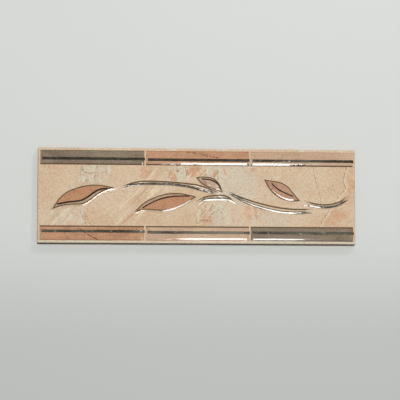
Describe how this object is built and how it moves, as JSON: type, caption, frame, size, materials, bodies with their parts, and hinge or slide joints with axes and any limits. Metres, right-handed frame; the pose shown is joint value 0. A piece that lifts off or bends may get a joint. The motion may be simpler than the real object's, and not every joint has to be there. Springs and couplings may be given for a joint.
{
  "type": "border tile",
  "caption": "Long narrow ceramic wall tile with a leaf sprig in raised glaze between two bands of striped panels, ribbed back.",
  "frame": {"origin": "middle of the flat back, on the surface that the tile lies on", "axes": "+X along the length, +Y across it towards the upper band, +Z out of the glazed face"},
  "size_m": [0.333, 0.1, 0.0084],
  "materials": {
    "glazed_ceramic": "matt stone-look ground glaze with raised glossy coloured glaze, bare red clay on the sides and the back"
  },
  "bodies": {
    "root": {"tile": "glazed_ceramic"}
  },
  "joints": []
}
